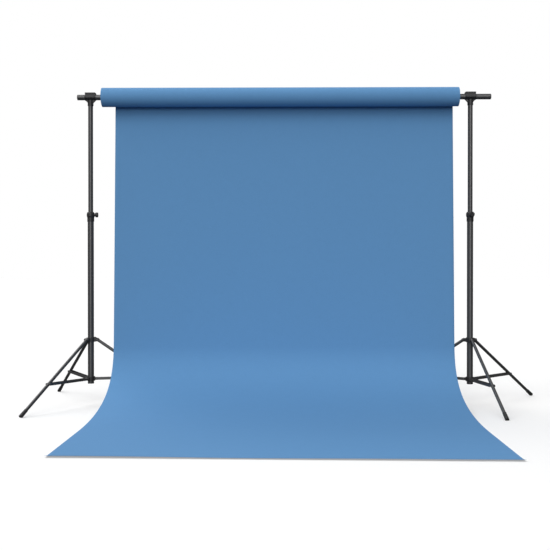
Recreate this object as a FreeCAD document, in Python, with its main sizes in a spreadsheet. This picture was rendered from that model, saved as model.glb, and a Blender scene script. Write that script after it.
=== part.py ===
"""Studio backdrop: a roll of background paper on a crossbar between two folding stands.

The paper leaves the back of the roll, hangs down, turns forward in one long curve and lies on the floor.
Local directions: X along the crossbar, -Y towards the person who is photographed, Z up, millimetres.
"""
import FreeCAD, Part
import math
import os
from types import SimpleNamespace

import Sketcher
from FreeCAD import Placement, Rotation, Vector

SIZES = (
    ("shift_x", -47.9, "crossbar centre from the middle of the whole object, along X"),
    ("shift_y", 355.7, "crossbar centre from the middle of the whole object, along Y"),
    ("slip", 0.1, "radial clearance of a sliding or running fit"),
    ("snug", 0.05, "radial clearance of a fit that stays put"),
    ("apart", 0.3, "air between pieces that pass each other"),
    ("over", 1.0, "how far a cutting shape runs past the solid"),
    ("bar_height", 1215.0, "crossbar axis above the floor"),
    ("bar_radius", 11.0, "crossbar outside radius"),
    ("bar_wall", 1.2, "crossbar wall"),
    ("bar_left", 801.0, "crossbar from the middle to its left end"),
    ("bar_right", 830.0, "crossbar from the middle to its right end"),
    ("cap_flange", 3.0, "thickness of a crossbar end cap"),
    ("cap_plug", 18.0, "length of an end cap inside the tube"),
    ("cap_bevel", 1.2, "bevel of an end cap's rim"),
    ("spacing", 1504.0, "distance between the two columns"),
    ("left_turn", 3.0, "heading of the left stand's inner leg, degrees from +X"),
    ("right_turn", -82.5, "heading of the right stand's front leg, degrees from +X"),
    ("lower_radius", 12.0, "lower column tube, outside radius"),
    ("lower_wall", 1.2, "lower column tube wall"),
    ("lower_bottom", 82.0, "lower column tube, bottom end"),
    ("lower_length", 667.0, "lower column tube length"),
    ("upper_radius", 9.5, "upper column tube, outside radius"),
    ("upper_wall", 1.1, "upper column tube wall"),
    ("upper_bottom", 552.0, "upper column tube, bottom end inside the lower tube"),
    ("upper_length", 640.0, "upper column tube length"),
    ("glide_length", 25.0, "plastic glide on the foot of the upper tube"),
    ("hub_pivot_radius", 25.0, "brace pivots from the column axis"),
    ("hub_pivot_height", 98.5, "brace pivots above the floor"),
    ("hub_height", 16.0, "height of the base hub's ring"),
    ("ring_wall", 4.6, "wall of the hub and collar rings"),
    ("lug_radius", 5.0, "round end of a lug"),
    ("lug_width", 15.2, "width of a base hub lug between two straps"),
    ("collar_pivot_radius", 26.0, "leg pivots from the column axis"),
    ("collar_pivot_height", 253.0, "leg pivots above the floor"),
    ("collar_height", 16.0, "height of the leg collar's ring"),
    ("ear_radius", 6.5, "round end of a collar ear"),
    ("ear_wall", 2.5, "thickness of a collar ear"),
    ("ear_gap", 12.8, "gap between a pair of ears"),
    ("leg_radius", 6.0, "leg tube outside radius"),
    ("leg_wall", 1.0, "leg tube wall"),
    ("leg_over", 6.0, "leg tube beyond its pivot"),
    ("foot_reach", 389.0, "end of a leg's axis from the column axis"),
    ("foot_height", 3.5, "end of a leg's axis above the floor"),
    ("foot_radius", 7.5, "rubber foot outside radius at the floor"),
    ("foot_mouth", 6.9, "rubber foot outside radius at its mouth"),
    ("foot_length", 34.0, "rubber foot length along the leg"),
    ("foot_sole", 7.0, "rubber between the tube's end and the foot's end"),
    ("brace_share", 0.6, "brace pivot along the leg, as a share of its length"),
    ("strap_height", 9.0, "brace strap height"),
    ("strap_wall", 1.8, "brace strap thickness"),
    ("strap_gap", 16.0, "gap between the two straps of a brace"),
    ("rivet_radius", 2.0, "rivet shank radius"),
    ("rivet_head", 3.6, "rivet head radius"),
    ("rivet_head_wall", 1.2, "rivet head thickness"),
    ("rivet_crown", 2.2, "radius of a rivet head's flat crown"),
    ("clamp_top", 760.0, "top of the column clamp"),
    ("clamp_ring", 22.0, "height of the column clamp's thick ring"),
    ("clamp_skirt", 16.0, "height of the clamp's skirt round the lower tube"),
    ("clamp_radius", 15.6, "column clamp outside radius"),
    ("clamp_shoulder", 6.0, "height of the clamp's upper and lower bevels"),
    ("clamp_mouth", 12.4, "clamp outside radius at its top"),
    ("skirt_radius", 13.6, "clamp skirt outside radius"),
    ("clamp_slit", 1.6, "slit that lets the clamp close"),
    ("boss_radius", 6.5, "screw boss outside radius"),
    ("boss_reach", 18.6, "end of a screw boss from the column axis"),
    ("screw_radius", 3.0, "knob screw radius"),
    ("knob_radius", 10.0, "knob head radius"),
    ("knob_length", 10.0, "knob head length"),
    ("knob_flute", 2.6, "radius of a knob flute"),
    ("flute_centre", 10.9, "centre of a knob flute from the knob's axis"),
    ("knob_bevel", 1.5, "bevel round both faces of a knob"),
    ("knob_dish", 6.0, "radius of the dish in a knob's face"),
    ("cradle_length", 41.0, "bar cradle along the crossbar"),
    ("cradle_radius", 13.4, "bar cradle shell outside radius"),
    ("flange_reach", 20.0, "cradle flange from the bar axis, front and back"),
    ("flange_wall", 3.5, "cradle flange thickness"),
    ("gusset_width", 12.0, "thickness of the web under the cradle"),
    ("gusset_drop", 21.0, "bottom of the web below the bar axis"),
    ("socket_radius", 11.4, "cradle socket outside radius"),
    ("socket_drop", 33.5, "bottom of the socket below the bar axis"),
    ("lid_height", 18.0, "top of the cradle cap above the bar axis"),
    ("lid_wall", 5.0, "thickness of the cradle cap's flat top"),
    ("lid_depth", 26.0, "cradle cap's flat top, front to back"),
    ("lid_round", 1.5, "rounding of the cradle cap's top edges"),
    ("lid_neck", 10.5, "half the depth of the cradle cap's neck"),
    ("bolt_x", 14.0, "cradle screws from the middle, along the bar"),
    ("bolt_y", 16.8, "cradle screws from the bar axis, front and back"),
    ("bolt_radius", 1.6, "cradle screw radius"),
    ("bolt_head", 2.9, "cradle screw head radius"),
    ("bolt_head_wall", 2.2, "cradle screw head thickness"),
    ("bolt_hex", 1.45, "radius to the corners of the socket in a screw's head"),
    ("bolt_hex_depth", 1.3, "depth of that socket"),
    ("core_radius", 29.5, "cardboard core outside radius"),
    ("core_wall", 3.0, "cardboard core wall"),
    ("roll_radius", 37.7, "wound paper outside radius"),
    ("roll_length", 1411.0, "length of the roll"),
    ("plug_length", 26.0, "core plug length"),
    ("plug_rim", 2.6, "core plug rim and hub wall"),
    ("plug_web", 3.0, "core plug web"),
    ("plug_inset", 2.0, "core plug below the end of the core"),
    ("sheet_left", 660.0, "paper sheet from the middle to its left edge"),
    ("sheet_right", 690.0, "paper sheet from the middle to its right edge"),
    ("sheet_wall", 1.0, "thickness of the solid that stands for the paper"),
    ("sheet_mitre", 0.4, "draws in the underside's poles, so the turn stays as thick"),
    ("front_left", 1009.0, "left end of the paper's front edge, ahead of the crossbar"),
    ("front_right", 1043.0, "right end of the front edge, which is cut slightly askew"),
    ("curve_top", 230.0, "height where the sheet starts to turn forward"),
    ("curve_ahead", 8.0, "front of the sheet there, ahead of the crossbar"),
    ("curve_length", 600.0, "floor length that the turn takes"),
    ("curve_drop", 140.0, "how far the turn keeps going down"),
    ("curve_run", 450.0, "how far the turn's end follows the floor"),
)

LEGS = 3
KNOB_FLUTES = 8
SOCKET_SIDES = 6
NEAR = 0.01

doc = FreeCAD.newDocument("backdrop")
table = doc.addObject("Spreadsheet::Sheet", "Sizes")


class Size:
    """A number together with the spreadsheet expression that gives it."""

    def __init__(self, value, text):
        self.value = value
        self.text = text

    def join(self, other, sign, result, swap=False):
        text = other.text if isinstance(other, Size) else repr(float(other))
        first, second = (text, self.text) if swap else (self.text, text)
        return Size(result, f"({first} {sign} {second})")

    def __add__(self, other):
        return self.join(other, "+", self.value + number(other))

    def __radd__(self, other):
        return self.join(other, "+", self.value + number(other), swap=True)

    def __sub__(self, other):
        return self.join(other, "-", self.value - number(other))

    def __rsub__(self, other):
        return self.join(other, "-", number(other) - self.value, swap=True)

    def __mul__(self, other):
        return self.join(other, "*", self.value * number(other))

    def __truediv__(self, other):
        return self.join(other, "/", self.value / number(other))

    def __neg__(self):
        return Size(-self.value, f"(-1 * {self.text})")


def number(size):
    return size.value if isinstance(size, Size) else float(size)


def fill_table():
    """Writes the driving sizes into the spreadsheet and returns them by name."""
    found = SimpleNamespace()
    for row, (alias, value, note) in enumerate(SIZES, start=1):
        table.set(f"A{row}", note)
        table.set(f"B{row}", str(value))
        table.setAlias(f"B{row}", alias)
        setattr(found, alias, Size(value, f"Sizes.{alias}"))
    doc.recompute()
    return found


S = fill_table()
PARTS = []


# ---------------------------------------------------------------- helpers

def keep(shape_object, label, base=(0, 0, 0), turn=None):
    """Names a sub-part, puts it in its place and lists it for export."""
    shape_object.Label = label
    shape_object.Placement = Placement(Vector(*map(number, base)), turn or Rotation())
    PARTS.append(shape_object)
    return shape_object


def bind(thing, name, size):
    """Sets a property and ties it to the spreadsheet."""
    if isinstance(size, Size):
        thing.setExpression(name, size.text)
    else:
        setattr(thing, name, size)


def new_body(name):
    return doc.addObject("PartDesign::Body", name)


def origin_part(body, role):
    return next(f for f in body.Origin.OriginFeatures if f.Role == role)


def new_sketch(body, plane):
    sketch = body.newObject("Sketcher::SketchObject", body.Name + "_sketch")
    sketch.AttachmentSupport = [(origin_part(body, plane), "")]
    sketch.MapMode = "FlatFace"
    return sketch


def fix_point(sketch, edge, end, x, y):
    """Holds a sketch point at (x, y) from the sketch's origin."""
    for kind, size in (("DistanceX", x), ("DistanceY", y)):
        row = sketch.addConstraint(
            Sketcher.Constraint(kind, -1, 1, edge, end, number(size)))
        if isinstance(size, Size):
            sketch.setExpression(f"Constraints[{row}]", size.text)


def draw_circle(sketch, radius, x=0.0, y=0.0):
    centre = Vector(number(x), number(y), 0)
    edge = sketch.addGeometry(Part.Circle(centre, Vector(0, 0, 1), number(radius)))
    fix_point(sketch, edge, 3, x, y)
    row = sketch.addConstraint(Sketcher.Constraint("Radius", edge, number(radius)))
    if isinstance(radius, Size):
        sketch.setExpression(f"Constraints[{row}]", radius.text)


def draw_outline(sketch, points):
    """A closed outline of straight edges through points, each held by its own sizes."""
    count = len(points)
    spots = [Vector(number(x), number(y), 0) for x, y in points]
    edges = [sketch.addGeometry(Part.LineSegment(spots[i], spots[(i + 1) % count]))
             for i in range(count)]
    for i in range(count):
        sketch.addConstraint(
            Sketcher.Constraint("Coincident", edges[i], 2, edges[(i + 1) % count], 1))
        fix_point(sketch, edges[i], 1, *points[i])


def draw_link(sketch, half, reach):
    """A straight link's side view, with round ends about (0, 0) and (reach, 0)."""
    radius = number(half)
    up = Vector(0, 0, 1)
    near = sketch.addGeometry(Part.ArcOfCircle(
        Part.Circle(Vector(), up, radius), math.pi / 2, 3 * math.pi / 2))
    far = sketch.addGeometry(Part.ArcOfCircle(
        Part.Circle(Vector(reach, 0, 0), up, radius), -math.pi / 2, math.pi / 2))
    low = sketch.addGeometry(Part.LineSegment(Vector(0, -radius, 0), Vector(reach, -radius, 0)))
    high = sketch.addGeometry(Part.LineSegment(Vector(reach, radius, 0), Vector(0, radius, 0)))
    for first, second in ((near, low), (low, far), (far, high), (high, near)):
        sketch.addConstraint(Sketcher.Constraint("Tangent", first, 2, second, 1))
    fix_point(sketch, near, 3, 0.0, 0.0)
    fix_point(sketch, far, 3, reach, 0.0)
    row = sketch.addConstraint(Sketcher.Constraint("Radius", near, radius))
    sketch.setExpression(f"Constraints[{row}]", half.text)


def extrude(body, kind, sketch, length, middle=False, back=False):
    """A Pad or a Pocket of a sketch, to one side or both."""
    feature = body.newObject(f"PartDesign::{kind}", f"{body.Name}_{kind}")
    feature.Profile = sketch
    feature.Midplane = middle
    feature.Reversed = back
    bind(feature, "Length", length)
    return feature


def cut_across(body, sketch, width):
    """A Pocket both ways from the sketch, right through a solid of this width."""
    return extrude(body, "Pocket", sketch, width * 2, middle=True)


def turn_profile(body, kind, sketch):
    """A Revolution or a Groove of a sketch about the body's Z axis."""
    feature = body.newObject(f"PartDesign::{kind}", f"{body.Name}_{kind}")
    feature.Profile = sketch
    feature.ReferenceAxis = (origin_part(body, "Z_Axis"), [""])
    feature.Angle = 360
    return feature


def pattern_round(body, features, count):
    """Repeats features evenly about the body's Z axis."""
    pattern = body.newObject("PartDesign::PolarPattern", f"{body.Name}_pattern")
    pattern.Originals = features
    pattern.Axis = (origin_part(body, "Z_Axis"), [""])
    pattern.Angle = 360
    pattern.Occurrences = count
    body.Tip = pattern
    return pattern


def tube_body(name, outer, wall, length):
    """A straight tube along its own Z axis."""
    body = new_body(name)
    sketch = new_sketch(body, "XY_Plane")
    draw_circle(sketch, outer)
    draw_circle(sketch, outer - wall)
    extrude(body, "Pad", sketch, length)
    return body


def turned_body(name, outline):
    """A body turned about its own Z axis from an outline of (radius, height) points."""
    body = new_body(name)
    sketch = new_sketch(body, "XZ_Plane")
    draw_outline(sketch, outline)
    turn_profile(body, "Revolution", sketch)
    return body


def cylinder(name, radius, height, base=(0, 0, 0), turn=None):
    solid = doc.addObject("Part::Cylinder", name)
    bind(solid, "Radius", radius)
    bind(solid, "Height", height)
    solid.Placement = Placement(Vector(*map(number, base)), turn or Rotation())
    return solid


def join(name, solids):
    fused = doc.addObject("Part::MultiFuse", name)
    fused.Shapes = solids
    return fused


def carve(name, solid, tool):
    """What is left of a solid when a tool is taken away from it."""
    cut = doc.addObject("Part::Cut", name)
    cut.Base = solid
    cut.Tool = tool
    return cut


def group(name, solids):
    """Separate solids that share one node."""
    compound = doc.addObject("Part::Compound", name)
    compound.Links = solids
    return compound


ALONG_X = Rotation(Vector(0, 1, 0), 90)
ALONG_MINUS_X = Rotation(Vector(0, 1, 0), -90)
ALONG_Y = Rotation(Vector(1, 0, 0), -90)
ALONG_MINUS_Y = Rotation(Vector(1, 0, 0), 90)


def about_z(degrees):
    return Rotation(Vector(0, 0, 1), degrees)


def leg_heading(k):
    """Turn of the k-th leg or lug from the stand's heading, in degrees."""
    return 360 / LEGS * k


# ---------------------------------------------------------------- roll and crossbar

def make_crossbar():
    bar = tube_body("crossbar", S.bar_radius, S.bar_wall, S.bar_left + S.bar_right)
    keep(bar, "crossbar", (S.shift_x - S.bar_left, S.shift_y, S.bar_height), ALONG_X)
    plug_radius = S.bar_radius - S.bar_wall - S.snug
    caps = []
    for side, reach, turn in ((-1, S.bar_left, ALONG_X), (1, S.bar_right, ALONG_MINUS_X)):
        bevel = S.cap_bevel
        cap = turned_body("crossbar_end_cap", [
            (0.0, -S.cap_flange), (S.bar_radius - bevel, -S.cap_flange),
            (S.bar_radius, bevel - S.cap_flange), (S.bar_radius, 0.0), (plug_radius, 0.0),
            (plug_radius, S.cap_plug), (0.0, S.cap_plug)])
        cap.Placement = Placement(Vector(side * reach.value, 0, 0), turn)
        caps.append(cap)
    keep(group("crossbar_end_caps", caps), "crossbar_end_caps",
         (S.shift_x, S.shift_y, S.bar_height))


def make_core_plug(name):
    """A bush for one end of the core: rim in the core, web, and hub on the crossbar."""
    bore = S.bar_radius + S.slip
    hub = bore + S.plug_rim
    rim = S.core_radius - S.core_wall - S.snug
    inner = rim - S.plug_rim
    return turned_body(name, [
        (bore, 0.0), (hub, 0.0), (inner, 0.0), (rim, 0.0), (rim, S.plug_length),
        (inner, S.plug_length), (inner, S.plug_web), (hub, S.plug_web),
        (hub, S.plug_length), (bore, S.plug_length)])


def make_roll():
    start = (S.shift_x - S.roll_length / 2, S.shift_y, S.bar_height)
    core = tube_body("roll_core", S.core_radius, S.core_wall, S.roll_length)
    keep(core, "roll_core", start, ALONG_X)
    paper_wall = S.roll_radius - S.core_radius - S.snug
    paper = tube_body("wound_paper", S.roll_radius, paper_wall, S.roll_length)
    keep(paper, "wound_paper", start, ALONG_X)
    plugs = []
    inset = S.roll_length.value / 2 - S.plug_inset.value
    for side, turn in ((-1, ALONG_X), (1, ALONG_MINUS_X)):
        plug = make_core_plug("core_plug_" + ("left" if side < 0 else "right"))
        plug.Placement = Placement(Vector(side * inset, 0, 0), turn)
        plugs.append(plug)
    keep(group("core_plugs", plugs), "core_plugs", (S.shift_x, S.shift_y, S.bar_height))


# ---------------------------------------------------------------- paper

def sheet_spots():
    """The paper's section, as points (distance behind the crossbar, height)."""
    top = Vector(S.roll_radius.value + S.apart.value, S.bar_height.value)
    bend = Vector(-S.curve_ahead.value, S.curve_top.value)
    lean = (top.x - bend.x) / (top.y - bend.y)
    drop = S.curve_drop.value
    wall = S.sheet_wall.value
    end = bend.x - S.curve_length.value
    return SimpleNamespace(
        top=top, bend=bend, end=Vector(end, wall),
        steep=Vector(bend.x - lean * drop, bend.y - drop),
        flat=Vector(end + S.curve_run.value, wall))


def make_paper_solid(name, edges, along):
    """Extrudes a closed outline of edges by a vector. X starts at the paper's left edge."""
    solid = doc.addObject("Part::Feature", name)
    solid.Shape = Part.Face(Part.Wire(edges)).extrude(along)
    keep(solid, name, (S.shift_x - S.sheet_left, S.shift_y, 0.0))


def in_section(spot):
    return Vector(0, spot.x, spot.y)


def closed_lines(ring):
    return [Part.LineSegment(a, b).toShape() for a, b in zip(ring, ring[1:] + ring[:1])]


def make_paper():
    spots = sheet_spots()
    width = S.sheet_left.value + S.sheet_right.value
    back = Vector(S.sheet_wall.value, 0)
    down = Vector(0, -S.sheet_wall.value)
    hanging = [spots.top, spots.top + back, spots.bend + back, spots.bend]
    make_paper_solid("paper_hanging", closed_lines([in_section(s) for s in hanging]),
                     Vector(width, 0, 0))
    mitre = S.sheet_mitre.value
    under = [spots.bend + back, spots.steep + back - Vector(0, mitre),
             spots.flat + down + Vector(mitre, 0), spots.end + down]
    over = [spots.bend, spots.steep, spots.flat, spots.end]
    curves = []
    for poles in (over, under):
        curve = Part.BezierCurve()
        curve.setPoles([in_section(p) for p in poles])
        curves.append(curve.toShape())
    ends = [Part.LineSegment(in_section(over[i]), in_section(under[i])).toShape()
            for i in (0, -1)]
    make_paper_solid("paper_sweep", Part.__sortEdges__(curves + ends), Vector(width, 0, 0))
    lying = [Vector(0, spots.end.x, 0), Vector(width, spots.end.x, 0),
             Vector(width, -S.front_right.value, 0), Vector(0, -S.front_left.value, 0)]
    make_paper_solid("paper_floor", closed_lines(lying), Vector(0, 0, S.sheet_wall.value))


# ---------------------------------------------------------------- stands

def leg_line():
    """Pivot, end, direction and lean of a leg in its own upright plane (radius, height)."""
    pivot = Vector(S.collar_pivot_radius.value, 0, S.collar_pivot_height.value)
    end = Vector(S.foot_reach.value, 0, S.foot_height.value)
    along = end - pivot
    lean = math.degrees(math.atan2(along.x, -along.z))
    return SimpleNamespace(pivot=pivot, end=end, length=along.Length, lean=lean,
                           brace=pivot + along * S.brace_share.value)


def rivet_crown(name, base, turn):
    """A rivet's bevelled head, which rises from base."""
    head = doc.addObject("Part::Cone", name)
    bind(head, "Radius1", S.rivet_head)
    bind(head, "Radius2", S.rivet_crown)
    bind(head, "Height", S.rivet_head_wall)
    head.Placement = Placement(Vector(*map(number, base)), turn)
    return head


def pin(name, half_length):
    """A rivet along Y, centred, with a head at each end."""
    shank = cylinder(name + "_shank", S.rivet_radius, half_length * 2,
                     (0, -half_length.value, 0), ALONG_Y)
    heads = [rivet_crown(name + "_head", (0, half_length, 0), ALONG_Y),
             rivet_crown(name + "_head", (0, -half_length, 0), ALONG_MINUS_Y)]
    return join(name, [shank] + heads)


def rivet_ring(label, place, half_length, radius, height):
    """A rivet across each lug."""
    pins = []
    for k in range(LEGS):
        rivet = pin(f"{label}_{k}", half_length)
        heading = about_z(leg_heading(k))
        spot = heading.multVec(Vector(radius.value, 0, height.value))
        rivet.Placement = Placement(spot, heading)
        pins.append(rivet)
    keep(group(label, pins), label, place.base, place.turn)


def pad_lug(body, inner, pivot, height, reach, width):
    """A lug in two pads: a straight arm from the ring, and a round end about its pivot."""
    arm = new_sketch(body, "XZ_Plane")
    draw_outline(arm, [(inner, height - reach), (pivot, height - reach),
                       (pivot, height + reach), (inner, height + reach)])
    end = new_sketch(body, "XZ_Plane")
    draw_circle(end, reach, pivot, height)
    return [extrude(body, "Pad", sketch, width, middle=True) for sketch in (arm, end)]


def make_base_hub(side, place):
    """Ring on the foot of the lower tube with a lug for each brace."""
    bore = S.lower_radius + S.snug
    middle = S.hub_pivot_height
    body = new_body(f"{side}_base_hub")
    ring = new_sketch(body, "XZ_Plane")
    low, high = middle - S.hub_height / 2, middle + S.hub_height / 2
    draw_outline(ring, [(bore, low), (bore + S.ring_wall, low),
                        (bore + S.ring_wall, high), (bore, high)])
    turn_profile(body, "Revolution", ring)
    lug = pad_lug(body, bore + S.ring_wall / 2, S.hub_pivot_radius, middle, S.lug_radius,
                  S.lug_width)
    hole = new_sketch(body, "XZ_Plane")
    draw_circle(hole, S.rivet_radius + S.snug, S.hub_pivot_radius, middle)
    pattern_round(body, lug + [cut_across(body, hole, S.lug_width)], LEGS)
    keep(body, f"{side}_base_hub", place.base, place.turn)
    reach = S.strap_gap / 2 + S.strap_wall + S.snug
    rivet_ring(f"{side}_hub_rivets", place, reach, S.hub_pivot_radius, middle)


def make_leg_collar(side, place, knob_turn):
    """Ring that slides on the lower tube, with a pair of ears for each leg."""
    bore = S.lower_radius + S.slip
    middle = S.collar_pivot_height
    ring_radius = bore + S.ring_wall
    body = new_body(f"{side}_collar_blank")
    ring = new_sketch(body, "XZ_Plane")
    low, high = middle - S.collar_height / 2, middle + S.collar_height / 2
    draw_outline(ring, [(bore, low), (ring_radius, low), (ring_radius, high), (bore, high)])
    turn_profile(body, "Revolution", ring)
    width = S.ear_gap + S.ear_wall * 2
    ears = pad_lug(body, bore + S.ring_wall / 2, S.collar_pivot_radius, middle, S.ear_radius,
                   width)
    gap = new_sketch(body, "XZ_Plane")
    far = S.collar_pivot_radius + S.ear_radius * 2
    draw_outline(gap, [(ring_radius, low), (far, low), (far, high), (ring_radius, high)])
    gap_cut = extrude(body, "Pocket", gap, S.ear_gap, middle=True)
    hole = new_sketch(body, "XZ_Plane")
    draw_circle(hole, S.rivet_radius + S.snug, S.collar_pivot_radius, middle)
    pattern_round(body, ears + [gap_cut, cut_across(body, hole, width)], LEGS)
    boss = cylinder("boss", S.boss_radius, S.boss_reach - bore - S.ring_wall / 2,
                    (bore + S.ring_wall / 2, 0, middle), ALONG_X)
    screw_hole = cylinder("screw_hole", S.screw_radius + S.slip, S.boss_reach + S.over,
                          (0, 0, middle), ALONG_X)
    for solid in (boss, screw_hole):
        solid.Placement = Placement(Vector(), about_z(knob_turn)).multiply(solid.Placement)
    drilled = carve(f"{side}_collar_drilled", join("collar_with_boss", [body, boss]),
                    screw_hole)
    keep(drilled, f"{side}_leg_collar", place.base, place.turn)
    reach = S.ear_gap / 2 + S.ear_wall + S.snug
    rivet_ring(f"{side}_collar_rivets", place, reach, S.collar_pivot_radius, middle)


def make_knob(label, place, knob_turn, height, tip):
    """Fluted knob with its screw: the screw's tip is tip from the column axis."""
    bevel, face = S.knob_bevel, S.knob_length
    body = turned_body(label + "_head", [
        (0.0, 0.0), (S.knob_radius - bevel, 0.0), (S.knob_radius, bevel),
        (S.knob_radius, face - bevel), (S.knob_radius - bevel, face), (S.knob_dish, face),
        (S.knob_dish - bevel, face - bevel), (0.0, face - bevel)])
    flute = new_sketch(body, "XY_Plane")
    draw_circle(flute, S.knob_flute, S.flute_centre)
    cut = extrude(body, "Pocket", flute, S.knob_length, back=True)
    pattern_round(body, [cut], KNOB_FLUTES)
    seat = S.boss_reach + S.apart
    screw = cylinder(label + "_screw", S.screw_radius, seat - tip + S.over, (0, 0, S.over),
                     Rotation(Vector(1, 0, 0), 180))
    spot = Vector(seat.value, 0, height.value)
    local = Placement(spot, ALONG_X)
    whole = place.placement.multiply(Placement(Vector(), about_z(knob_turn))).multiply(local)
    keep(join(label + "_joined", [body, screw]), label, whole.Base, whole.Rotation)


def make_column(side, place):
    """Lower tube with its end cap, and the clamp round its top end."""
    tube = tube_body(f"{side}_lower_tube", S.lower_radius, S.lower_wall, S.lower_length)
    base = place.base + Vector(0, 0, S.lower_bottom.value)
    keep(tube, f"{side}_lower_tube", base, place.turn)
    plug = S.lower_radius - S.lower_wall - S.snug
    rim = S.lower_radius + S.apart
    cap = turned_body(f"{side}_tube_end_cap", [
        (0.0, -S.cap_flange), (rim, -S.cap_flange), (rim, 0.0), (plug, 0.0),
        (plug, S.cap_plug), (0.0, S.cap_plug)])
    keep(cap, f"{side}_tube_end_cap", base, place.turn)


def make_column_clamp(side, place):
    """Split ring on top of the lower tube that grips the upper tube."""
    top = S.clamp_top
    ring_low = top - S.clamp_ring
    skirt_low = ring_low - S.clamp_skirt
    tube_top = S.lower_bottom + S.lower_length
    body = new_body(f"{side}_column_clamp")
    outside = new_sketch(body, "XZ_Plane")
    draw_outline(outside, [
        (0.0, skirt_low), (S.skirt_radius, skirt_low), (S.skirt_radius, ring_low),
        (S.clamp_radius, ring_low + S.clamp_shoulder),
        (S.clamp_radius, top - S.clamp_shoulder), (S.clamp_mouth, top), (0.0, top)])
    turn_profile(body, "Revolution", outside)
    boss = new_sketch(body, "YZ_Plane")
    screw_height = top - S.clamp_ring / 2
    draw_circle(boss, S.boss_radius, 0.0, screw_height)
    extrude(body, "Pad", boss, S.boss_reach)
    bore = new_sketch(body, "XZ_Plane")
    lower, upper = S.lower_radius + S.snug, S.upper_radius + S.slip
    draw_outline(bore, [
        (0.0, skirt_low - S.over), (lower, skirt_low - S.over), (lower, tube_top),
        (upper, tube_top), (upper, top + S.over), (0.0, top + S.over)])
    turn_profile(body, "Groove", bore)
    hole = new_sketch(body, "YZ_Plane")
    draw_circle(hole, S.screw_radius + S.slip, 0.0, screw_height)
    extrude(body, "Pocket", hole, S.boss_reach + S.over, back=True)
    slit = new_sketch(body, "XY_Plane")
    half = S.clamp_slit / 2
    outer = -(S.clamp_radius + S.over)
    draw_outline(slit, [(outer, -half), (0.0, -half), (0.0, half), (outer, half)])
    above = number(tube_top + S.over)
    slit.AttachmentOffset = Placement(Vector(0, 0, above), Rotation())
    extrude(body, "Pocket", slit, S.clamp_ring, back=True)
    keep(body, f"{side}_column_clamp", place.base, place.turn)
    return screw_height


def make_upper_tube(side, place):
    tube = tube_body(f"{side}_upper_tube", S.upper_radius, S.upper_wall, S.upper_length)
    base = place.base + Vector(0, 0, S.upper_bottom.value)
    keep(tube, f"{side}_upper_tube", base, place.turn)
    glide_radius = S.lower_radius - S.lower_wall - S.slip
    glide = tube_body(f"{side}_tube_glide", glide_radius,
                      glide_radius - S.upper_radius - S.snug, S.glide_length)
    keep(glide, f"{side}_tube_glide", base, place.turn)


def make_leg(side, name, place, heading):
    """Leg tube, drilled for its pivot, with a rubber foot cut flat on the floor."""
    line = leg_line()
    body = tube_body(f"{side}_leg_{name}_tube", S.leg_radius, S.leg_wall,
                     line.length + S.leg_over.value - S.foot_sole.value)
    hole = new_sketch(body, "XZ_Plane")
    draw_circle(hole, S.rivet_radius + S.slip, 0.0, S.leg_over)
    cut_across(body, hole, S.leg_radius * 2)
    turned = Rotation(Vector(0, 1, 0), 180 - line.lean)
    along = turned.multVec(Vector(0, 0, 1))
    local = Placement(line.pivot - along * S.leg_over.value, turned)
    aim = place.placement.multiply(Placement(Vector(), about_z(heading)))
    whole = aim.multiply(local)
    keep(body, f"{side}_leg_{name}", whole.Base, whole.Rotation)

    sleeve = doc.addObject("Part::Cone", "foot_sleeve")
    bind(sleeve, "Radius1", S.foot_mouth)
    bind(sleeve, "Radius2", S.foot_radius)
    bind(sleeve, "Height", S.foot_length)
    hollow = cylinder("foot_hollow", S.leg_radius + S.snug,
                      S.foot_length - S.foot_sole + S.over, (0, 0, -S.over))
    cup = carve("foot_cup", sleeve, hollow)
    cup.Placement = Placement(line.end - along * S.foot_length.value, turned)
    ground = doc.addObject("Part::Box", "ground")
    for edge in ("Length", "Width", "Height"):
        bind(ground, edge, S.foot_length * 2)
    span = S.foot_length.value
    ground.Placement = Placement(
        Vector(line.end.x - span, -span, -2 * span), Rotation())
    keep(carve("foot_flat", cup, ground), f"{side}_foot_{name}", aim.Base, aim.Rotation)


def make_brace(side, name, place, heading):
    """Two straps from a hub lug to a leg, with the heads of the rivet at the leg."""
    line = leg_line()
    hub = Vector(S.hub_pivot_radius.value, 0, S.hub_pivot_height.value)
    along = line.brace - hub
    straps = []
    for sign in (-1, 1):
        body = new_body(f"{side}_strap_{name}_{'a' if sign < 0 else 'b'}")
        sketch = new_sketch(body, "XZ_Plane")
        reach = along.Length
        draw_link(sketch, S.strap_height / 2, reach)
        extrude(body, "Pad", sketch, S.strap_wall, middle=True)
        hole = new_sketch(body, "XZ_Plane")
        draw_circle(hole, S.rivet_radius + S.slip)
        cut_across(body, hole, S.strap_wall)
        side_shift = sign * (S.strap_gap.value + S.strap_wall.value) / 2
        body.Placement = Placement(Vector(0, side_shift, 0), Rotation())
        inner = sign * (S.leg_radius.value + S.apart.value)
        outer = sign * (S.strap_gap.value / 2 + S.strap_wall.value)
        stub = cylinder("stub", S.rivet_radius, abs(outer - inner),
                        (reach, min(inner, outer), 0), ALONG_Y)
        head = rivet_crown("stub_head", (reach, outer, 0),
                           ALONG_Y if sign > 0 else ALONG_MINUS_Y)
        straps.append(join(f"{side}_strap_joined", [body, stub, head]))
    rise = math.degrees(math.atan2(along.z, along.x))
    local = Placement(hub, Rotation(Vector(0, 1, 0), -rise))
    whole = place.placement.multiply(Placement(Vector(), about_z(heading))).multiply(local)
    keep(group(f"{side}_brace_{name}_pair", straps), f"{side}_brace_{name}",
         whole.Base, whole.Rotation)


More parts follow.
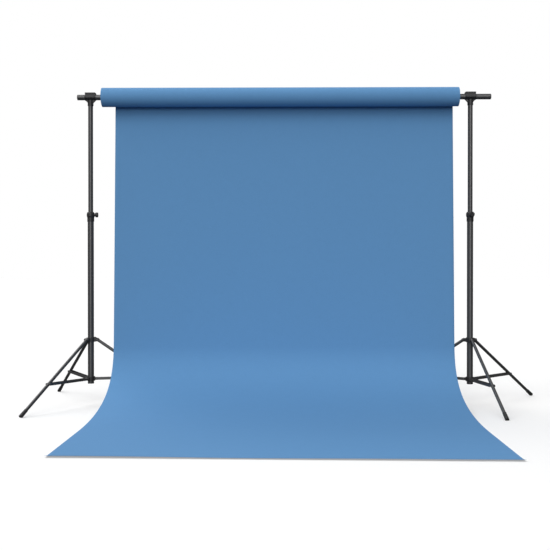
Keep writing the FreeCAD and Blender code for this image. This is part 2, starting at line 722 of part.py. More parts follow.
def make_cradle(side, place):
    """Saddle that holds the crossbar on top of the upper tube."""
    half = S.cradle_length / 2
    body = new_body(f"{side}_bar_cradle")
    web = new_sketch(body, "XZ_Plane")
    draw_outline(web, [(-half, -S.bar_radius), (-S.socket_radius, -S.gusset_drop),
                       (S.socket_radius, -S.gusset_drop), (half, -S.bar_radius)])
    extrude(body, "Pad", web, S.gusset_width, middle=True)
    flange = new_sketch(body, "YZ_Plane")
    draw_outline(flange, [(-S.flange_reach, -S.flange_wall), (S.flange_reach, -S.flange_wall),
                          (S.flange_reach, 0.0), (-S.flange_reach, 0.0)])
    extrude(body, "Pad", flange, S.cradle_length, middle=True)
    shell = new_sketch(body, "YZ_Plane")
    draw_circle(shell, S.cradle_radius)
    extrude(body, "Pad", shell, S.cradle_length, middle=True)
    upper = new_sketch(body, "YZ_Plane")
    wide = S.flange_reach + S.over
    draw_outline(upper, [(-wide, 0.0), (wide, 0.0), (wide, wide), (-wide, wide)])
    cut_across(body, upper, S.cradle_length)
    socket = new_sketch(body, "XY_Plane")
    draw_circle(socket, S.socket_radius)
    socket.AttachmentOffset = Placement(Vector(0, 0, -S.socket_drop.value), Rotation())
    extrude(body, "Pad", socket, S.socket_drop - S.bar_radius)
    bore = new_sketch(body, "YZ_Plane")
    draw_circle(bore, S.bar_radius + S.snug)
    cut_across(body, bore, S.cradle_length)
    seat = new_sketch(body, "XY_Plane")
    draw_circle(seat, S.upper_radius + S.snug)
    depth = S.upper_bottom + S.upper_length - S.bar_height
    seat.AttachmentOffset = Placement(Vector(0, 0, depth.value), Rotation())
    extrude(body, "Pocket", seat, S.socket_drop)
    drill_cradle(body)
    keep(body, f"{side}_bar_cradle", place.base + Vector(0, 0, S.bar_height.value))


def round_top(body, radius):
    """Rounds the edges of the body's highest face."""
    doc.recompute()
    solid = body.Tip
    top = solid.Shape.BoundBox.ZMax
    names = [f"Edge{i}" for i, edge in enumerate(solid.Shape.Edges, start=1)
             if edge.BoundBox.ZMin > top - NEAR]
    rounding = body.newObject("PartDesign::Fillet", body.Name + "_round")
    rounding.Base = (solid, names)
    bind(rounding, "Radius", radius)


def drill_cradle(body):
    """Four screw holes through a cradle half's flanges."""
    holes = new_sketch(body, "XY_Plane")
    for x in (-S.bolt_x, S.bolt_x):
        for y in (-S.bolt_y, S.bolt_y):
            draw_circle(holes, S.bolt_radius + S.snug, x, y)
    cut_across(body, holes, S.cradle_length)


def make_cradle_cap(side, place):
    """Cap that is screwed down over the crossbar."""
    body = new_body(f"{side}_cradle_cap")
    low = S.apart
    flange = new_sketch(body, "YZ_Plane")
    draw_outline(flange, [(-S.flange_reach, low), (S.flange_reach, low),
                          (S.flange_reach, low + S.flange_wall),
                          (-S.flange_reach, low + S.flange_wall)])
    extrude(body, "Pad", flange, S.cradle_length, middle=True)
    block = new_sketch(body, "YZ_Plane")
    edge = S.lid_depth / 2
    draw_outline(block, [(-edge, low), (edge, low), (edge, S.lid_height),
                         (-edge, S.lid_height)])
    extrude(body, "Pad", block, S.cradle_length, middle=True)
    round_top(body, S.lid_round)
    waist = new_sketch(body, "YZ_Plane")
    neck = S.lid_height - S.lid_wall
    for sign in (-1, 1):
        near, far = S.lid_neck * sign, S.flange_reach * sign
        draw_outline(waist, [(near, low + S.flange_wall), (far, low + S.flange_wall),
                             (far, neck), (near, neck)])
    cut_across(body, waist, S.cradle_length)
    bore = new_sketch(body, "YZ_Plane")
    draw_circle(bore, S.bar_radius + S.snug)
    cut_across(body, bore, S.cradle_length)
    drill_cradle(body)
    keep(body, f"{side}_cradle_cap", place.base + Vector(0, 0, S.bar_height.value))
    screws = []
    top = S.apart + S.flange_wall
    for x in (-S.bolt_x.value, S.bolt_x.value):
        for y in (-S.bolt_y.value, S.bolt_y.value):
            shank = cylinder("bolt_shank", S.bolt_radius, top + S.flange_wall,
                             (x, y, -S.flange_wall.value))
            head = cylinder("bolt_head_solid", S.bolt_head, S.bolt_head_wall, (x, y, top))
            socket = doc.addObject("Part::Prism", "bolt_socket")
            socket.Polygon = SOCKET_SIDES
            bind(socket, "Circumradius", S.bolt_hex)
            bind(socket, "Height", S.bolt_hex_depth * 2)
            floor = number(top + S.bolt_head_wall - S.bolt_hex_depth)
            socket.Placement = Placement(Vector(x, y, floor), Rotation())
            screws.append(carve("cradle_screw", join("screw_blank", [shank, head]), socket))
    keep(group(f"{side}_cradle_screw_set", screws), f"{side}_cradle_screws",
         place.base + Vector(0, 0, S.bar_height.value))


def make_stand(side, sign, turn, leg_names, collar_knob_turn):
    """One folding stand. Its first leg and its clamp knob point along its heading."""
    base = Vector(S.shift_x.value + sign * S.spacing.value / 2, S.shift_y.value, 0)
    place = SimpleNamespace(base=base, turn=about_z(turn.value),
                            placement=Placement(base, about_z(turn.value)))
    make_column(side, place)
    make_base_hub(side, place)
    make_leg_collar(side, place, collar_knob_turn)
    tip = S.lower_radius + S.apart
    make_knob(f"{side}_collar_knob", place, collar_knob_turn, S.collar_pivot_height, tip)
    screw_height = make_column_clamp(side, place)
    make_knob(f"{side}_clamp_knob", place, 0, screw_height, tip)
    make_upper_tube(side, place)
    for k, name in enumerate(leg_names):
        make_leg(side, name, place, leg_heading(k))
        make_brace(side, name, place, leg_heading(k))
    make_cradle(side, place)
    make_cradle_cap(side, place)


def check_and_export():
    """Stops on any failed object, then writes each sub-part to its own STEP file."""
    doc.recompute()
    failed = [o.Name for o in doc.Objects if {"Invalid", "Error"} & set(o.State)]
    if failed:
        raise RuntimeError(f"failed objects: {failed}")
    os.makedirs("parts", exist_ok=True)
    for part in PARTS:
        shape = part.Shape
        if shape.isNull() or not shape.isValid() or not shape.Solids:
            raise RuntimeError(f"{part.Label} has no valid solid")
        shape.exportStep(f"parts/{part.Label}.step")
        print(f"{part.Label}: {len(shape.Solids)} solids, {shape.Volume / 1000:.2f} cm3")
    line = leg_line()
    print(f"{len(PARTS)} sub-parts, leg {line.length:.2f} mm leaning {line.lean:.3f} degrees")


make_crossbar()
make_roll()
make_paper()
make_stand("left", -1, S.left_turn, ("inner", "rear", "front"), 60)
make_stand("right", 1, S.right_turn, ("front", "rear", "inner"), 180)
check_and_export()
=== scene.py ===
"""Looks of a backdrop paper roll on its crossbar between two folding stands.

Lengths are in metres. X runs along the crossbar, -Y the way the paper lies out, Z up.
"""
import math
import random

import bpy
import numpy as np
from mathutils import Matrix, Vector


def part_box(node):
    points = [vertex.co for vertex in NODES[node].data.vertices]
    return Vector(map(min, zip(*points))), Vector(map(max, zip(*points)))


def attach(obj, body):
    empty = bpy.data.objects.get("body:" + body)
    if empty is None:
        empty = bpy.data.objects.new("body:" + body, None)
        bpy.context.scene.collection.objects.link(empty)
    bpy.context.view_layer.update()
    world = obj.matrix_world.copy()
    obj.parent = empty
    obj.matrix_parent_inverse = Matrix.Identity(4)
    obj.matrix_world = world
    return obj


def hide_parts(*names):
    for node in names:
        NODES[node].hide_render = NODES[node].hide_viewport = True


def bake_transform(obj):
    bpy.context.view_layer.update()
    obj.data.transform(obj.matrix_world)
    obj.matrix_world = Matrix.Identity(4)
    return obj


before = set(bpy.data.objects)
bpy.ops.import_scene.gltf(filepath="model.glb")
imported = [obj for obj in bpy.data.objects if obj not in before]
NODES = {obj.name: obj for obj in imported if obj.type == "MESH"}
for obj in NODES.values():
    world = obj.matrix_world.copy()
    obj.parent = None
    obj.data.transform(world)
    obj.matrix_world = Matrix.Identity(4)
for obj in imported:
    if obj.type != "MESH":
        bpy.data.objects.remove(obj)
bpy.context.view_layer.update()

# ---------------------------------------------------------------- sizes from the frame

roll_low, roll_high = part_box("wound_paper")
core_low, core_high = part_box("roll_core")
hang_low, hang_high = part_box("paper_hanging")
BAR_Y = (roll_low.y + roll_high.y) / 2
BAR_Z = (roll_low.z + roll_high.z) / 2
ROLL_RADIUS = (roll_high.z - roll_low.z) / 2
CORE_RADIUS = (core_high.z - core_low.z) / 2
SHEET_LEFT, SHEET_RIGHT = hang_low.x, hang_high.x


def front_edge_y(x):
    """Y of the front edge of the CAD paper at its corner nearest to x."""
    spots = [v.co for v in NODES["paper_floor"].data.vertices]
    return min(spot.y for spot in spots if abs(spot.x - x) < 0.001)


FRONT_LEFT = front_edge_y(SHEET_LEFT)
FRONT_RIGHT = front_edge_y(SHEET_RIGHT)

# ---------------------------------------------------------------- paper sizes

SHEET_WALL = 0.0004        # thickness of the paper as it is drawn
SHEET_LIE = 0.0006         # top of the lying paper above the floor
WRAP_GAP = 0.0003          # air between the roll and the sheet where it leaves
WRAP_CLOSED = 0.9          # share of that air that is gone where the wrap starts
WRAP_START = math.radians(76)      # where the sheet leaves the roll, up from its back
CURVE_TOP = (-0.008, 0.230)        # (Y from the crossbar, Z) of the curve's poles
CURVE_STEEP = (-0.0145, 0.090)
CURVE_FLAT = (-0.158, SHEET_LIE)
CURVE_END = (-0.608, SHEET_LIE)
SEAM_SHARE = 0.87          # where along the curve the two pieces of the sheet meet
EDGE_CURL, EDGE_CURL_WIDTH = 0.0022, 0.010      # the side edges turn back a little
FRONT_LIFT, FRONT_LIFT_LENGTH = 0.0050, 0.045   # the front edge keeps some of its curl
LIFT_SWAY, LIFT_RIPPLE = 0.2, 0.1               # shares by which that lift is uneven
RIPPLE_TURN = 9.0          # radians of that ripple per metre
WAVE_DEPTH = 0.0003        # the hanging sheet is never quite flat
WAVES = ((1.0, 7.3, 2.1), (0.6, 12.7, -4.4))    # share, radians per metre along X and Z
WAVES_FROM, WAVES_FADE = 0.03, 0.25             # they grow from this height, over this far
ROLL_FADE = 0.12           # drop below the bar in which the roll keeps the sheet flat

WRAP_ROWS, DROP_ROWS, TURN_ROWS = 24, 61, 61    # points along the hanging piece
SEAM_ROWS, FLOOR_ROWS = 16, 41                  # points along the lying piece
ROW_CROWDING = 1.4         # above 1, rows stand closer together at the front edge
EDGE_COLUMNS = (0.0, 0.0005, 0.0015, 0.003, 0.005, 0.0075, 0.010)   # from a side edge
MIDDLE_INSET, MIDDLE_COLUMNS = 0.022, 56        # evenly spread, inside those

LAYER_PITCH = 0.00024      # one turn of paper on the roll, with its air
LAYER_STEPS = 120          # points round one turn
CORE_GAP = 0.00005         # air between the core and the first turn
END_UNEVENNESS = 0.0007    # how far turns stand back from the roll's end
GROOVE = 0.00018           # depth of the groove between two turns
# one turn's edge, from inside to outside: (share of the pitch, how far it stands back)
LAYER_SECTION = ((0.0, GROOVE), (0.12, 0.0), (0.86, 0.0), (1.0, GROOVE))


# ---------------------------------------------------------------- node helpers

NOISE_ROUGHNESS = 0.55
SHARPEST_SMOOTH = math.radians(35)      # faces that meet at more keep a sharp edge


class Finish:
    """A Principled material with short ways to add the nodes that shape it."""

    def __init__(self, name, colour, roughness, metallic=0.0, specular=0.5):
        self.material = bpy.data.materials.new(name)
        self.material.use_nodes = True
        self.tree = self.material.node_tree
        self.shader = self.tree.nodes["Principled BSDF"]
        self.colour = (*colour, 1.0)
        self.shader.inputs["Base Color"].default_value = self.colour
        self.shader.inputs["Roughness"].default_value = roughness
        self.shader.inputs["Metallic"].default_value = metallic
        self.shader.inputs["Specular IOR Level"].default_value = specular
        self.coords = self.tree.nodes.new("ShaderNodeTexCoord").outputs["Object"]

    def feed(self, socket, value):
        """Links an output to a socket, or sets a plain value on it."""
        if isinstance(value, bpy.types.NodeSocket):
            self.tree.links.new(value, socket)
        elif value is not None:
            socket.default_value = value

    def math(self, operation, first, second=None):
        """The result of a sum on one or two values."""
        node = self.tree.nodes.new("ShaderNodeMath")
        node.operation = operation
        self.feed(node.inputs[0], first)
        self.feed(node.inputs[1], second)
        return node.outputs[0]

    def axes(self):
        """X, Y and Z of the shaded point."""
        node = self.tree.nodes.new("ShaderNodeSeparateXYZ")
        self.feed(node.inputs[0], self.coords)
        return node.outputs

    def noise(self, scale, detail=4.0, stretch=(1, 1, 1)):
        """Noise of this scale per metre, from 0 to 1, stretched along an axis below 1."""
        mapping = self.tree.nodes.new("ShaderNodeMapping")
        mapping.inputs["Scale"].default_value = stretch
        self.feed(mapping.inputs["Vector"], self.coords)
        node = self.tree.nodes.new("ShaderNodeTexNoise")
        node.inputs["Scale"].default_value = scale
        node.inputs["Detail"].default_value = detail
        node.inputs["Roughness"].default_value = NOISE_ROUGHNESS
        self.feed(node.inputs["Vector"], mapping.outputs[0])
        return node.outputs["Fac"]

    def spread(self, value, low, high, start=0.3, end=0.7):
        """Maps a value from start..end to low..high."""
        node = self.tree.nodes.new("ShaderNodeMapRange")
        self.feed(node.inputs["Value"], value)
        for name, size in (("From Min", start), ("From Max", end),
                           ("To Min", low), ("To Max", high)):
            node.inputs[name].default_value = size
        return node.outputs["Result"]

    def tint(self, factor, other, under=None):
        """Mixes the colour so far with another one by a factor."""
        node = self.tree.nodes.new("ShaderNodeMix")
        node.data_type = "RGBA"
        self.feed(node.inputs["Factor"], factor)
        self.feed(node.inputs[6], under if under is not None else self.colour)
        self.feed(node.inputs[7], (*other, 1.0))
        self.feed(self.shader.inputs["Base Color"], node.outputs[2])
        return node.outputs[2]

    def rough(self, value):
        """Sets the roughness by a value that changes over the surface."""
        self.feed(self.shader.inputs["Roughness"], value)

    def bump(self, height, depth):
        """Relief of this depth in metres."""
        node = self.tree.nodes.new("ShaderNodeBump")
        node.inputs["Distance"].default_value = depth
        node.inputs["Strength"].default_value = 1.0
        self.feed(node.inputs["Height"], height)
        self.feed(self.shader.inputs["Normal"], node.outputs[0])


def scaled(colour, share):
    return tuple(c * share for c in colour)


# ---------------------------------------------------------------- finishes

BLUE = (0.101, 0.252, 0.470)
BLACK_COAT = (0.024, 0.024, 0.025)
BLACK_PLASTIC = (0.013, 0.013, 0.014)
PLUG_PLASTIC = (0.020, 0.020, 0.021)
KNOB_PLASTIC = (0.011, 0.011, 0.012)
CAP_PLASTIC = (0.012, 0.012, 0.012)
RUBBER = (0.014, 0.014, 0.014)
DUST = (0.10, 0.095, 0.088)
DARK_STEEL = (0.07, 0.07, 0.074)
WORN_STEEL = (0.30, 0.30, 0.31)
KRAFT = (0.42, 0.29, 0.17)
PLY_LAY = 0.11             # how far one turn of a cardboard ply runs along the core
PLY_JOINT = 0.012          # width of the joint between plies, as a share of that
PLY_WAVES = 9000           # radians of the layered pattern per metre of radius
DUST_HEIGHT = 0.009        # feet are dusty up to here


def paper_finish(name, edges=False):
    """Matt dyed paper: cloudy pulp, short fibres, a fine tooth; edges darkens a roll's ends."""
    finish = Finish(name, BLUE, 0.86, specular=0.28)
    pulp = finish.spread(finish.noise(38, 3.0), 0.0, 1.0)
    fibres = finish.spread(finish.noise(520, 6.0, stretch=(1, 0.45, 0.45)), 0.0, 1.0)
    cloudy = finish.tint(pulp, scaled(BLUE, 0.965))
    under = finish.tint(fibres, scaled(BLUE, 1.06), cloudy)
    if edges:
        x, y, z = finish.axes()
        inside = finish.math("LESS_THAN", radius_from_bar(finish, y, z),
                             ROLL_RADIUS - 2 * LAYER_PITCH)
        layers = finish.spread(finish.noise(1500, 2.0, stretch=(0.02, 1, 1)), 0.0, 0.6)
        finish.tint(finish.math("MULTIPLY", inside, layers), scaled(BLUE, 0.72), under)
    finish.rough(finish.spread(fibres, 0.80, 0.92, start=0.0, end=1.0))
    finish.bump(finish.math("ADD", finish.noise(1300, 4.0), fibres), 0.00007)
    return finish.material


def radius_from_bar(finish, y, z):
    """Distance of the shaded point from the crossbar's axis."""
    across = finish.math("SUBTRACT", y, BAR_Y)
    up = finish.math("SUBTRACT", z, BAR_Z)
    squares = finish.math("ADD", finish.math("MULTIPLY", across, across),
                          finish.math("MULTIPLY", up, up))
    return finish.math("SQRT", squares)


def coated_tube(name, stretch):
    """Satin black powder coat with fine rub marks along the tube."""
    finish = Finish(name, BLACK_COAT, 0.40, specular=0.9)
    rub = finish.spread(finish.noise(700, 3.0, stretch), 0.0, 1.0, start=0.45, end=0.72)
    finish.tint(finish.math("MULTIPLY", rub, 0.6), scaled(BLACK_COAT, 2.0))
    peel = finish.noise(1100, 2.0)
    finish.rough(finish.math("ADD", finish.spread(peel, 0.36, 0.46),
                             finish.math("MULTIPLY", rub, 0.08)))
    finish.bump(peel, 0.00003)
    return finish.material


def moulded(name, colour, roughness, grain, depth):
    """Moulded plastic with a spark-eroded grain and slightly cloudy colour."""
    finish = Finish(name, colour, roughness, specular=0.45)
    finish.tint(finish.spread(finish.noise(60, 3.0), 0.0, 0.8), scaled(colour, 1.7))
    skin = finish.noise(grain, 3.0)
    finish.rough(finish.spread(skin, roughness - 0.07, roughness + 0.08))
    finish.bump(skin, depth)
    return finish.material


def rubber_finish():
    """Matt rubber that picks up pale dust close to the floor."""
    finish = Finish("foot_rubber_look", RUBBER, 0.56, specular=0.45)
    grime = finish.tint(finish.spread(finish.noise(180, 4.0), 0.0, 1.0), scaled(RUBBER, 1.9))
    low = finish.spread(finish.axes()[2], 1.0, 0.0, start=0.0, end=DUST_HEIGHT)
    dust = finish.math("MULTIPLY", low, finish.spread(finish.noise(350, 5.0), 0.0, 0.7))
    finish.tint(dust, DUST, grime)
    finish.bump(finish.noise(900, 3.0), 0.00008)
    return finish.material


def steel_finish():
    """Blackened steel, worn a little brighter in patches."""
    finish = Finish("blackened_steel_look", DARK_STEEL, 0.38, metallic=0.85)
    worn = finish.spread(finish.noise(900, 5.0), 0.0, 0.8, start=0.5, end=0.75)
    finish.tint(worn, WORN_STEEL)
    finish.rough(finish.spread(finish.noise(1500, 3.0), 0.30, 0.48))
    finish.bump(finish.noise(2200, 2.0), 0.00002)
    return finish.material


def cardboard_finish():
    """Bare spiral-wound board: helical joints between plies, and layered ends."""
    finish = Finish("cardboard_look", KRAFT, 0.9, specular=0.2)
    x, y, z = finish.axes()
    turn = finish.math("ARCTAN2", finish.math("SUBTRACT", z, BAR_Z),
                       finish.math("SUBTRACT", y, BAR_Y))
    helix = finish.math("FRACT", finish.math("ADD", finish.math("DIVIDE", turn, math.tau),
                                             finish.math("DIVIDE", x, PLY_LAY)))
    joint = finish.math("LESS_THAN", helix, PLY_JOINT)
    plies = finish.math("SINE", finish.math("MULTIPLY", radius_from_bar(finish, y, z),
                                            PLY_WAVES))
    fibres = finish.tint(finish.spread(finish.noise(420, 6.0, (0.3, 1, 1)), 0.0, 0.8),
                         scaled(KRAFT, 0.72))
    lined = finish.tint(finish.spread(plies, 0.0, 0.35, start=0.2, end=1.0),
                        scaled(KRAFT, 0.6), fibres)
    finish.tint(joint, scaled(KRAFT, 0.35), lined)
    finish.bump(finish.noise(700, 5.0), 0.00008)
    return finish.material


FINISHES = {
    "blue_paper": paper_finish("blue_paper_look"),
    "cardboard": cardboard_finish(),
    "plug_plastic": moulded("plug_plastic_look", PLUG_PLASTIC, 0.52, grain=800, depth=0.00007),
    "black_tube": coated_tube("black_coat_look", stretch=(1, 1, 1)),
    "black_plastic": moulded("black_plastic_look", BLACK_PLASTIC, 0.46, grain=1500, depth=0.00005),
    "knob_plastic": moulded("knob_plastic_look", KNOB_PLASTIC, 0.40, grain=1000, depth=0.00004),
    "cap_plastic": moulded("cap_plastic_look", CAP_PLASTIC, 0.30, grain=400, depth=0.00002),
    "rivet_steel": steel_finish(),
    "foot_rubber": rubber_finish(),
}
UPRIGHT_COAT = coated_tube("black_coat_upright_look", stretch=(1, 1, 0.02))
LEVEL_COAT = coated_tube("black_coat_level_look", stretch=(0.02, 1, 1))
BY_NODE = {"crossbar": LEVEL_COAT}
for side in ("left", "right"):
    BY_NODE[f"{side}_lower_tube"] = UPRIGHT_COAT
    BY_NODE[f"{side}_upper_tube"] = UPRIGHT_COAT

for name, node in NODES.items():
    for slot in node.material_slots:
        look = BY_NODE.get(name) or FINISHES[slot.material.name]
        slot.link = "OBJECT"
        slot.material = look


# ---------------------------------------------------------------- mesh helpers

def new_piece(name, spots, faces, finish):
    """A smooth mesh object whose edges stay sharp where it turns a corner."""
    mesh = bpy.data.meshes.new(name)
    mesh.from_pydata([tuple(p) for p in spots], [], faces)
    mesh.polygons.foreach_set("use_smooth", [True] * len(mesh.polygons))
    mesh.set_sharp_from_angle(angle=SHARPEST_SMOOTH)
    mesh.materials.append(finish)
    mesh.validate()
    piece = bpy.data.objects.new(name, mesh)
    bpy.context.scene.collection.objects.link(piece)
    return piece


def make_shell(name, front, back, finish):
    """A closed thin shell between two grids of points, indexed [row][column]."""
    rows, columns = front.shape[:2]
    spots = np.concatenate([front.reshape(-1, 3), back.reshape(-1, 3)])
    other = rows * columns

    def at(row, column):
        return row * columns + column

    faces = []
    for row in range(rows - 1):
        for column in range(columns - 1):
            quad = (at(row, column), at(row + 1, column),
                    at(row + 1, column + 1), at(row, column + 1))
            faces.append(quad)
            faces.append(tuple(i + other for i in reversed(quad)))
    border = [at(0, c) for c in range(columns)]
    border += [at(r, columns - 1) for r in range(1, rows)]
    border += [at(rows - 1, c) for c in range(columns - 2, -1, -1)]
    border += [at(r, 0) for r in range(rows - 2, 0, -1)]
    for here, there in zip(border, border[1:] + border[:1]):
        faces.append((here, there, there + other, here + other))
    return new_piece(name, spots, faces, finish)


# ---------------------------------------------------------------- paper sheet

def curve_spot(share):
    """A point (Y from the crossbar, Z) of the paper's turn on to the floor."""
    rest = 1 - share
    weights = (rest ** 3, 3 * rest ** 2 * share, 3 * rest * share ** 2, share ** 3)
    poles = (CURVE_TOP, CURVE_STEEP, CURVE_FLAT, CURVE_END)
    return tuple(sum(w * pole[i] for w, pole in zip(weights, poles)) for i in (0, 1))


def hanging_profile():
    """Points (Y from the crossbar, Z) of the front face, from the roll to the seam."""
    radius = ROLL_RADIUS + WRAP_GAP
    top_lean = math.atan2(radius - CURVE_TOP[0], BAR_Z - CURVE_TOP[1])
    spots = []
    for angle in np.linspace(WRAP_START, -top_lean, WRAP_ROWS):
        grown = ROLL_RADIUS + WRAP_GAP * (1 - WRAP_CLOSED * max(angle, 0.0) / WRAP_START)
        spots.append((grown * math.cos(angle), BAR_Z + grown * math.sin(angle)))
    start, end = np.array(spots[-1]), np.array(CURVE_TOP)
    spots += [tuple(start + (end - start) * share)
              for share in np.linspace(0, 1, DROP_ROWS)[1:]]
    spots += [curve_spot(share) for share in np.linspace(0, SEAM_SHARE, TURN_ROWS)[1:]]
    return np.array(spots)


def lying_profile():
    """Points of the upper face from the seam to the end of the turn."""
    return np.array([curve_spot(share) for share in np.linspace(SEAM_SHARE, 1.0, SEAM_ROWS)])


def profile_normals(profile):
    """Unit normals (Y, Z) that point to the back or the underside of the paper."""
    along = np.gradient(profile, axis=0)
    along /= np.linalg.norm(along, axis=1)[:, None]
    return np.stack([-along[:, 1], along[:, 0]], axis=1)


def sheet_columns():
    """X of the sheet's columns, closer together at both edges."""
    close = np.array(EDGE_COLUMNS)
    middle = np.linspace(SHEET_LEFT + MIDDLE_INSET, SHEET_RIGHT - MIDDLE_INSET, MIDDLE_COLUMNS)
    return np.concatenate([SHEET_LEFT + close, middle, (SHEET_RIGHT - close)[::-1]])


def edge_rise(x):
    """How far the paper's side edges curl back, in metres."""
    inside = np.minimum(x - SHEET_LEFT, SHEET_RIGHT - x)
    share = np.clip(1 - inside / EDGE_CURL_WIDTH, 0, 1)
    return EDGE_CURL * share ** 2


def sweep_sheet(profile, normals, columns, shift):
    """Front points of a sheet; shift(row, x) moves each row along its normal."""
    front = np.zeros((len(profile), len(columns), 3))
    for row, ((y, z), (ny, nz)) in enumerate(zip(profile, normals)):
        move = shift(row, columns)
        front[row, :, 0] = columns
        front[row, :, 1] = BAR_Y + y + ny * move
        front[row, :, 2] = z + nz * move
    return front


def make_hanging_sheet():
    """The sheet from the roll down to the seam in its turn on to the floor."""
    profile = hanging_profile()
    normals = profile_normals(profile)
    columns = sheet_columns()
    height = profile[:, 1]
    hangs = (np.clip((height - WAVES_FROM) / WAVES_FADE, 0, 1)
             * np.clip((BAR_Z - height) / ROLL_FADE, 0, 1))

    def shift(row, x):
        waves = sum(share * np.sin(x * along + height[row] * up) for share, along, up in WAVES)
        return hangs[row] * (edge_rise(x) + WAVE_DEPTH * waves)

    front = sweep_sheet(profile, normals, columns, shift)
    thick = np.zeros_like(front)
    thick[:, :, 1:] = normals[:, None, :] * SHEET_WALL
    sheet = make_shell("backdrop_sheet_hanging", front, front + thick, FINISHES["blue_paper"])
    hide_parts("paper_hanging", "paper_sweep")
    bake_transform(sheet)


def make_lying_sheet():
    """The sheet from the seam to its front edge, which is cut slightly askew."""
    columns = sheet_columns()
    turn = lying_profile()
    across = (columns - SHEET_LEFT) / (SHEET_RIGHT - SHEET_LEFT)
    edge = FRONT_LEFT + (FRONT_RIGHT - FRONT_LEFT) * across
    near = BAR_Y + turn[-1][0]
    rows = []
    for y, z in turn:
        rows.append(np.stack([columns, np.full_like(columns, BAR_Y + y),
                              np.full_like(columns, z)], axis=1))
    uneven = (1 + LIFT_SWAY * np.cos(across * math.tau)
              + LIFT_RIPPLE * np.sin(columns * RIPPLE_TURN))
    for share in np.linspace(0, 1, FLOOR_ROWS)[1:]:
        y = near + (edge - near) * (1 - (1 - share) ** ROW_CROWDING)
        ahead = np.clip(1 - (y - edge) / FRONT_LIFT_LENGTH, 0, 1)
        rows.append(np.stack([columns, y, SHEET_LIE + FRONT_LIFT * uneven * ahead ** 2],
                             axis=1))
    top = np.array(rows)
    bottom = top - np.array([0, 0, SHEET_WALL])
    sheet = make_shell("backdrop_sheet_lying", top, bottom, FINISHES["blue_paper"])
    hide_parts("paper_floor")
    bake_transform(sheet)


# ---------------------------------------------------------------- wound roll

def layer_spots(turns):
    """Points of both ends of one long spiral of layers, each layer a little uneven."""
    chance = random.Random(7)
    inner = CORE_RADIUS + CORE_GAP
    pitch = (ROLL_RADIUS - inner) / (turns + 1)
    uneven = [chance.uniform(0.0, END_UNEVENNESS) for _ in range(turns + 2)]
    spots = []
    for end_x, inward in ((roll_low.x, 1), (roll_high.x, -1)):
        for step in range(LAYER_STEPS):
            angle = math.tau * step / LAYER_STEPS
            share = step / LAYER_STEPS
            for turn in range(turns):
                inset = uneven[turn] * (1 - share) + uneven[turn + 1] * share
                for across, groove in LAYER_SECTION:
                    radius = inner + pitch * (turn + share + across)
                    spots.append((end_x + inward * (inset + groove),
                                  BAR_Y + radius * math.cos(angle),
                                  BAR_Z + radius * math.sin(angle)))
    return spots


def layer_faces(turns):
    """Faces of both ends, of the outside and the inside, and of the paper's two ends."""
    layer = len(LAYER_SECTION)
    width = turns * layer
    side = LAYER_STEPS * width

    def at(end, step, place):
        """A vertex; past the last step, each layer goes on as the next one out."""
        if step == LAYER_STEPS:
            step, place = 0, place + layer
        return end * side + step * width + place

    faces = []
    for step in range(LAYER_STEPS):
        places = width - layer if step == LAYER_STEPS - 1 else width
        for place in range(places - 1):
            quad = (at(0, step, place), at(0, step, place + 1),
                    at(0, step + 1, place + 1), at(0, step + 1, place))
            faces.append(tuple(reversed(quad)))
            faces.append(tuple(i + side for i in quad))
        for place in (0, places - 1):
            quad = (at(0, step, place), at(0, step + 1, place),
                    at(1, step + 1, place), at(1, step, place))
            faces.append(quad if place else tuple(reversed(quad)))
    for place in range(layer):
        head = at(0, 0, place)
        faces.append((head, head + 1, head + 1 + side, head + side))
        tail = at(0, LAYER_STEPS - 1, width - layer - 1 + place)
        faces.append((tail + side, tail + 1 + side, tail + 1, tail))
    return faces


def make_roll_layers():
    """The wound paper."""
    turns = int((ROLL_RADIUS - CORE_RADIUS - CORE_GAP) / LAYER_PITCH) - 1
    finish = paper_finish("blue_paper_layers_look", edges=True)
    piece = new_piece("roll_layers", layer_spots(turns), layer_faces(turns), finish)
    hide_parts("wound_paper")
    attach(piece, "roll")


make_roll_layers()
make_hanging_sheet()
make_lying_sheet()


# ---------------------------------------------------------------- floor, light, camera

WHITE = (1, 1, 1, 1)
FLOOR_GREY = (0.60, 0.60, 0.60)
FLOOR_GLOW = 0.33          # keeps shadows on the floor pale
FLOOR_HALF, FLOOR_Z = 40.0, -0.0002
GROUND_END, SKY_START = -0.15, 0.35     # heights on the unit sphere where light changes
CAMERA_SPOT = (-0.0256, -3.1155, 0.5343)
CAMERA_YAW, CAMERA_PITCH = math.radians(-0.69), math.radians(-0.398)
CAMERA_LENS, CAMERA_SENSOR = 57.28, 36.0        # millimetres, as cameras have them


def make_floor():
    """A white studio floor that shows soft shadows and lights nothing itself."""
    finish = Finish("studio_floor_look", FLOOR_GREY, 1.0, specular=0.0)
    finish.shader.inputs["Emission Color"].default_value = WHITE
    finish.shader.inputs["Emission Strength"].default_value = FLOOR_GLOW
    spots = [(x * FLOOR_HALF, y * FLOOR_HALF, FLOOR_Z)
             for x, y in ((-1, -1), (1, -1), (1, 1), (-1, 1))]
    floor = new_piece("studio_floor", spots, [(0, 1, 2, 3)], finish.material)
    floor.visible_diffuse = False
    floor.visible_glossy = False


def make_sun(name, from_azimuth, elevation, strength, spread):
    """A soft distant lamp. Azimuth 0 is in front of the paper and 90 at its left."""
    light = bpy.data.lights.new(name, "SUN")
    light.energy = strength
    light.angle = math.radians(spread)
    lamp = bpy.data.objects.new(name, light)
    bpy.context.scene.collection.objects.link(lamp)
    around, up = math.radians(from_azimuth), math.radians(elevation)
    towards = Vector((-math.sin(around) * math.cos(up), -math.cos(around) * math.cos(up),
                      math.sin(up)))
    lamp.rotation_euler = towards.to_track_quat("Z", "Y").to_euler()


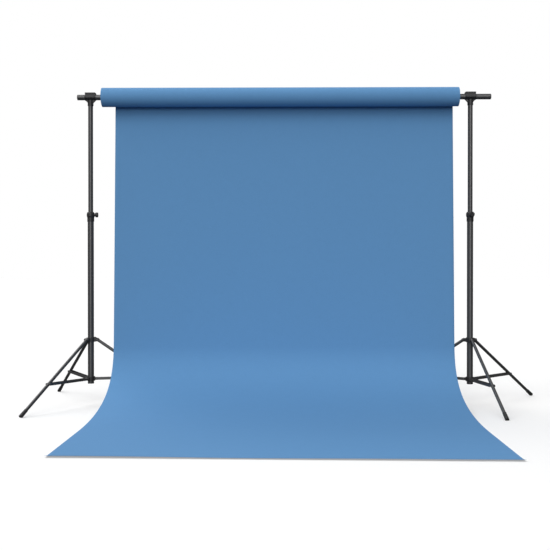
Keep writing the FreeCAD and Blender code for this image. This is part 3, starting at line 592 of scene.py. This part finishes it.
def make_world(sky, ground):
    """Pale studio light: brighter from above, dim from below, white behind."""
    world = bpy.data.worlds.new("studio")
    bpy.context.scene.world = world
    world.use_nodes = True
    tree = world.node_tree
    tree.nodes.clear()
    add = tree.nodes.new
    where = add("ShaderNodeTexCoord")
    split = add("ShaderNodeSeparateXYZ")
    span = add("ShaderNodeMapRange")
    light = add("ShaderNodeBackground")
    shown = add("ShaderNodeBackground")
    path = add("ShaderNodeLightPath")
    mix = add("ShaderNodeMixShader")
    out = add("ShaderNodeOutputWorld")
    for name, value in (("From Min", GROUND_END), ("From Max", SKY_START),
                        ("To Min", ground), ("To Max", sky)):
        span.inputs[name].default_value = value
    shown.inputs["Color"].default_value = WHITE
    shown.inputs["Strength"].default_value = 1.0
    tree.links.new(where.outputs["Generated"], split.inputs[0])
    tree.links.new(split.outputs["Z"], span.inputs["Value"])
    tree.links.new(span.outputs["Result"], light.inputs["Strength"])
    tree.links.new(path.outputs["Is Camera Ray"], mix.inputs[0])
    tree.links.new(light.outputs[0], mix.inputs[1])
    tree.links.new(shown.outputs[0], mix.inputs[2])
    tree.links.new(mix.outputs[0], out.inputs["Surface"])


def make_camera():
    """The camera that looks at the front of the paper, almost level."""
    data = bpy.data.cameras.new("front_camera")
    data.sensor_width = CAMERA_SENSOR
    data.lens = CAMERA_LENS
    camera = bpy.data.objects.new("front_camera", data)
    bpy.context.scene.collection.objects.link(camera)
    camera.location = CAMERA_SPOT
    level = math.cos(CAMERA_PITCH)
    ahead = Vector((math.sin(CAMERA_YAW) * level, math.cos(CAMERA_YAW) * level,
                    math.sin(CAMERA_PITCH)))
    camera.rotation_euler = ahead.to_track_quat("-Z", "Y").to_euler()
    bpy.context.scene.camera = camera


make_floor()
make_world(sky=0.36, ground=0.12)
make_sun("front_light", from_azimuth=6, elevation=38, strength=1.30, spread=36)
make_sun("left_light", from_azimuth=68, elevation=46, strength=0.90, spread=36)
make_sun("back_light", from_azimuth=132, elevation=55, strength=1.48, spread=50)
make_sun("low_light", from_azimuth=0, elevation=6, strength=0.92, spread=26)
make_camera()
bpy.context.scene.view_settings.view_transform = "Standard"

bpy.context.view_layer.update()
